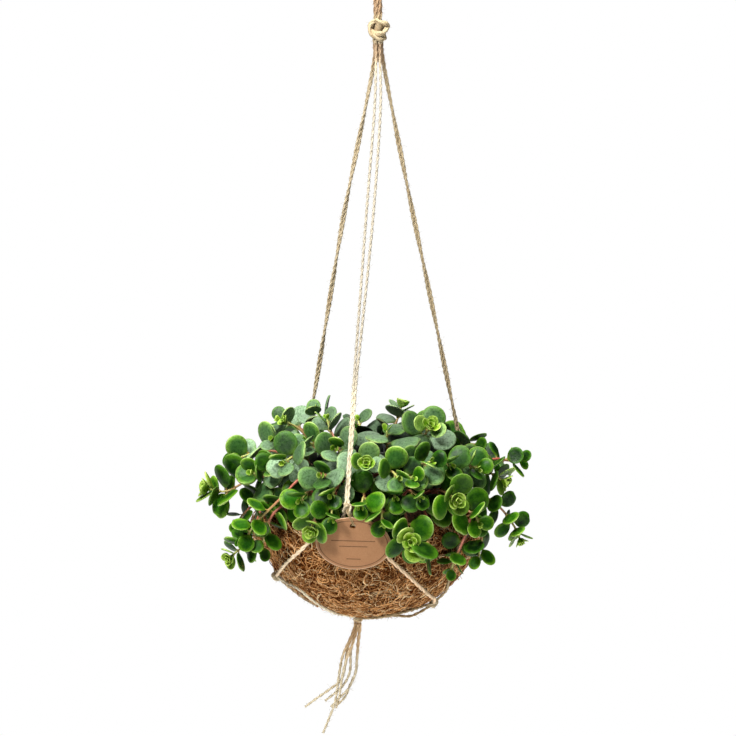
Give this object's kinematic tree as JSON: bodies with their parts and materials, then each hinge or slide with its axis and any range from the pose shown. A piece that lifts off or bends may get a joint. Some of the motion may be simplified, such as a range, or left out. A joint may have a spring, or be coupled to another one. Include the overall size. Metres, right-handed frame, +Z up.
{
  "type": "hanging potted sedum",
  "caption": "Trailing sedum with round fleshy leaves in a half-round coir bowl, hung from a loop by a knotted natural twine net, with a plain oval card tag.",
  "frame": {"origin": "where a hook bears, at the inner top of the hanging loop's eye", "axes": "+Z up, -Y to the front, where the tag hangs, and +X to the right as seen from the front"},
  "size_m": [0.2665, 0.238, 0.6294],
  "materials": {
    "foliage": "satin",
    "coir": "matte",
    "soil": "matte",
    "twine": "matte",
    "card": "matte"
  },
  "bodies": {
    "root": {"base_back_a": "twine", "base_back_b": "twine", "base_left_a": "twine", "base_left_b": "twine", "base_right_a": "twine", "base_right_b": "twine", "bottom_knot": "twine", "coir_bowl": "coir", "front_knot": "twine", "hanger_front_a": "twine", "hanger_front_b": "twine", "hanger_left_a": "twine", "hanger_left_b": "twine", "hanger_right_a": "twine", "hanger_right_b": "twine", "hanging_loop": "twine", "left_knot": "twine", "low_back_knot": "twine", "low_left_knot": "twine", "low_right_knot": "twine", "net_front_left": "twine", "net_front_right": "twine", "net_left_back": "twine", "net_left_front": "twine", "net_right_back": "twine", "net_right_front": "twine", "right_knot": "twine", "root_ball": "soil", "shoot_back": "foliage", "shoot_back_left": "foliage", "shoot_back_right": "foliage", "shoot_back_top": "foliage", "shoot_crown": "foliage", "shoot_front_left": "foliage", "shoot_front_top": "foliage", "shoot_left_far": "foliage", "shoot_left_hanging": "foliage", "shoot_left_high": "foliage", "shoot_left_low": "foliage", "shoot_left_mid": "foliage", "shoot_left_top": "foliage", "shoot_long_stem": "foliage", "shoot_right_far": "foliage", "shoot_right_front": "foliage", "shoot_right_hanging": "foliage", "shoot_right_low": "foliage", "shoot_right_mid": "foliage", "shoot_right_top": "foliage", "shoot_right_trailing": "foliage", "shoot_tag": "foliage", "shoot_top_left": "foliage", "tag": "card", "tag_tie": "twine", "tail_1": "twine", "tail_2": "twine", "tail_3": "twine", "tail_4": "twine", "tail_5": "twine", "tail_6": "twine", "top_knot": "twine"}
  },
  "joints": []
}
